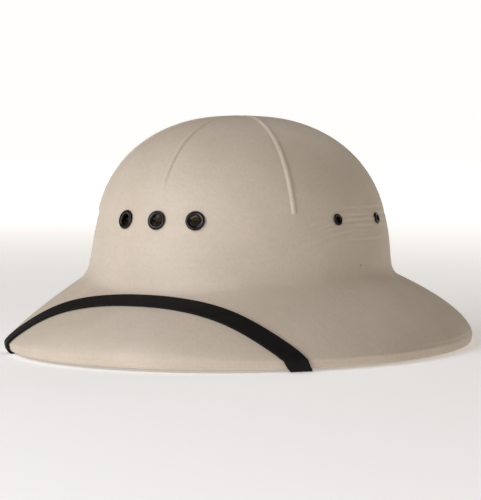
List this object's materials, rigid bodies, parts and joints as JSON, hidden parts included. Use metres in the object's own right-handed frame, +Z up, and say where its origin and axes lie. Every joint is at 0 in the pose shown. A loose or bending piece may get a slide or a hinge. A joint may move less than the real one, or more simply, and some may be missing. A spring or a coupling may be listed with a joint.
{
  "type": "pith helmet",
  "caption": "Pith helmet: an oval domed crown over a wide sloping brim with a rolled rim, vent eyelets, an inner sweatband and a chin strap stowed over the front.",
  "frame": {"origin": "on the surface that the helmet rests on, under the middle of its outline", "axes": "+Z up, -Y towards the front, +X towards the wearer's left"},
  "size_m": [0.2914, 0.3506, 0.1521],
  "materials": {
    "tan_fibre": "painted pressed fibre, matte, fine grain",
    "black_enamel": "glossy black enamel",
    "black_vinyl": "satin black vinyl",
    "black_strap": "matte black strap"
  },
  "bodies": {
    "root": {"shell": "tan_fibre", "front_eyelet_1": "black_enamel", "front_eyelet_2": "black_enamel", "front_eyelet_3": "black_enamel", "side_eyelet_left_1": "black_enamel", "side_eyelet_left_2": "black_enamel", "side_eyelet_right_1": "black_enamel", "side_eyelet_right_2": "black_enamel", "sweatband": "black_vinyl", "chin_strap": "black_strap"}
  },
  "joints": []
}
